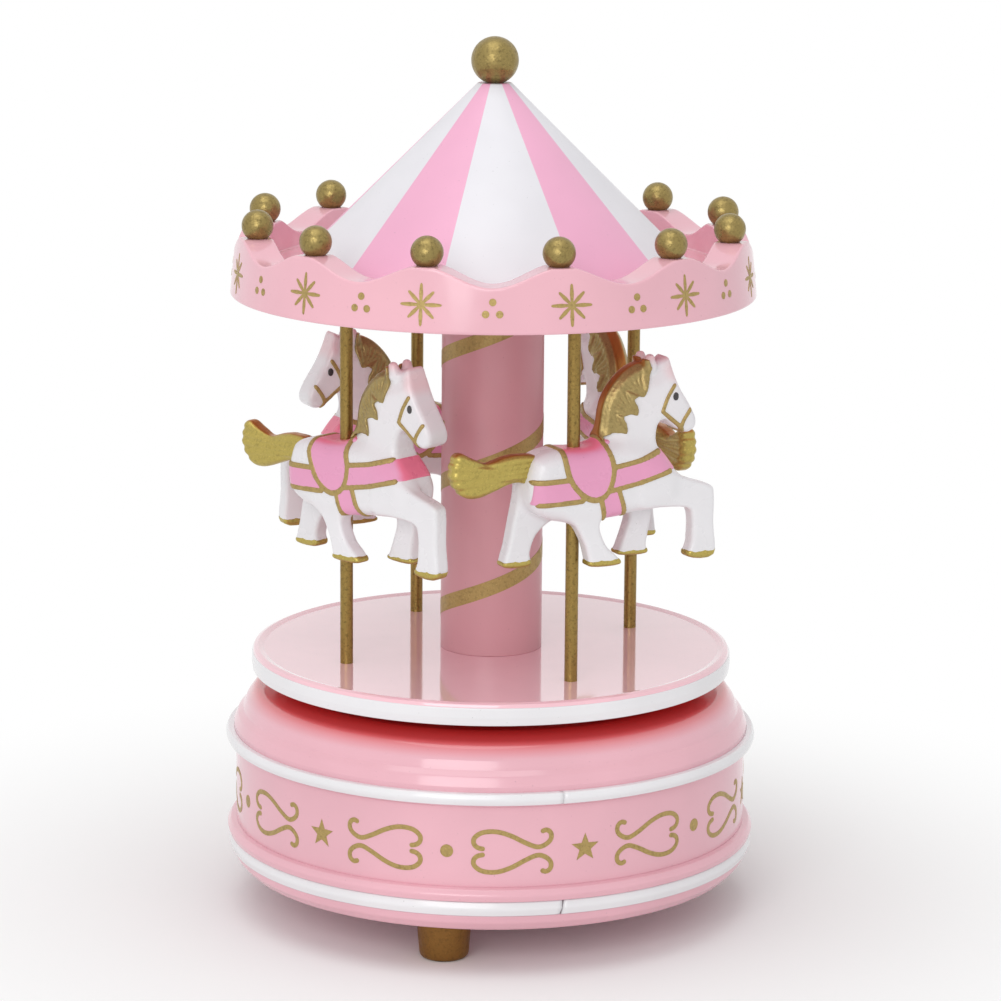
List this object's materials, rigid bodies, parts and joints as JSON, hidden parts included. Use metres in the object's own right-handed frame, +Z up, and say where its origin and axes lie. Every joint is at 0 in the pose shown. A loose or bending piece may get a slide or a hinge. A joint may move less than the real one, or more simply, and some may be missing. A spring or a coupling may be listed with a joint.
{
  "type": "carousel music box",
  "caption": "Round wind-up music box on low feet, with a turning carousel on top: horses on poles around a ribboned column, under a striped conical canopy with a scalloped, ball-tipped rim.",
  "frame": {"origin": "on the floor, under the middle of the base", "axes": "+Z up along the turning axis, -Y towards the front, +X to the right seen from the front"},
  "size_m": [0.11, 0.11, 0.18],
  "materials": {
    "pink_plastic": "gloss",
    "striped_plastic": "satin",
    "white_plastic": "gloss",
    "horse_plastic": "gloss",
    "gold_plastic": "metallic",
    "gold_metal": "polished",
    "steel": "satin",
    "brass": "satin",
    "cast_bed": "cast",
    "gear_plastic": "moulded"
  },
  "bodies": {
    "base": {"foot_1": "gold_plastic", "foot_2": "gold_plastic", "foot_3": "gold_plastic", "bottom_tray": "pink_plastic", "base_wall": "pink_plastic", "top_cover": "pink_plastic", "upper_band": "white_plastic", "lower_band": "white_plastic", "spindle_bush": "brass", "tray_screws": "steel", "bedplate": "cast_bed", "movement_screws": "steel", "one_way_clutch": "steel", "near_bracket": "brass", "far_bracket": "brass", "comb": "steel", "comb_screws": "steel", "governor_frame": "brass"},
    "carousel": {"turntable": "pink_plastic", "turntable_band": "white_plastic", "turntable_hub": "white_plastic", "drive_spindle": "steel", "lower_plug": "white_plastic", "upper_plug": "white_plastic", "centre_column": "pink_plastic", "pole_1": "gold_metal", "pole_2": "gold_metal", "pole_3": "gold_metal", "pole_4": "gold_metal", "horse_1": "horse_plastic", "horse_2": "horse_plastic", "horse_3": "horse_plastic", "horse_4": "horse_plastic", "canopy_ceiling": "pink_plastic", "canopy_rim": "pink_plastic", "rim_balls": "gold_plastic", "canopy_roof": "striped_plastic", "finial_ball": "gold_plastic", "spring_barrel": "brass", "barrel_cover": "brass", "crown_gear": "gear_plastic", "mainspring": "steel"},
    "winding": {"winding_key": "gold_metal", "winding_arbor": "steel"},
    "cylinder": {"melody_cylinder": "brass", "cylinder_shaft": "steel", "cylinder_pinion": "brass", "cylinder_gear": "brass"},
    "governor_wheel": {"governor_shaft": "steel", "governor_pinion": "brass", "worm_wheel": "brass"},
    "governor_fan": {"governor_worm": "steel", "governor_fan": "gear_plastic"}
  },
  "joints": [
    {"name": "carousel_spin", "type": "hinge", "parent": "base", "child": "carousel", "pos_m": [0, 0, 0], "axis": [0, 0, 1], "continuous": true},
    {"name": "cylinder_spin", "type": "hinge", "parent": "base", "child": "cylinder", "pos_m": [0, 0, 0.0255], "axis": [1, 0, 0], "continuous": true},
    {"name": "governor_wheel_spin", "type": "hinge", "parent": "base", "child": "governor_wheel", "pos_m": [0, 0.0115, 0.0255], "axis": [1, 0, 0], "continuous": true},
    {"name": "governor_fan_spin", "type": "hinge", "parent": "base", "child": "governor_fan", "pos_m": [0.028, 0.016, 0], "axis": [0, 0, 1], "continuous": true},
    {"name": "key_wind", "type": "hinge", "parent": "base", "child": "winding", "pos_m": [0, 0, 0], "axis": [0, 0, 1], "range_deg": [0, 1800]}
  ],
  "couplings": [
    {"joint": "cylinder_spin", "follows": "carousel_spin", "ratio": 3.6},
    {"joint": "governor_wheel_spin", "follows": "carousel_spin", "ratio": -12.96},
    {"joint": "governor_fan_spin", "follows": "carousel_spin", "ratio": 207.36}
  ]
}
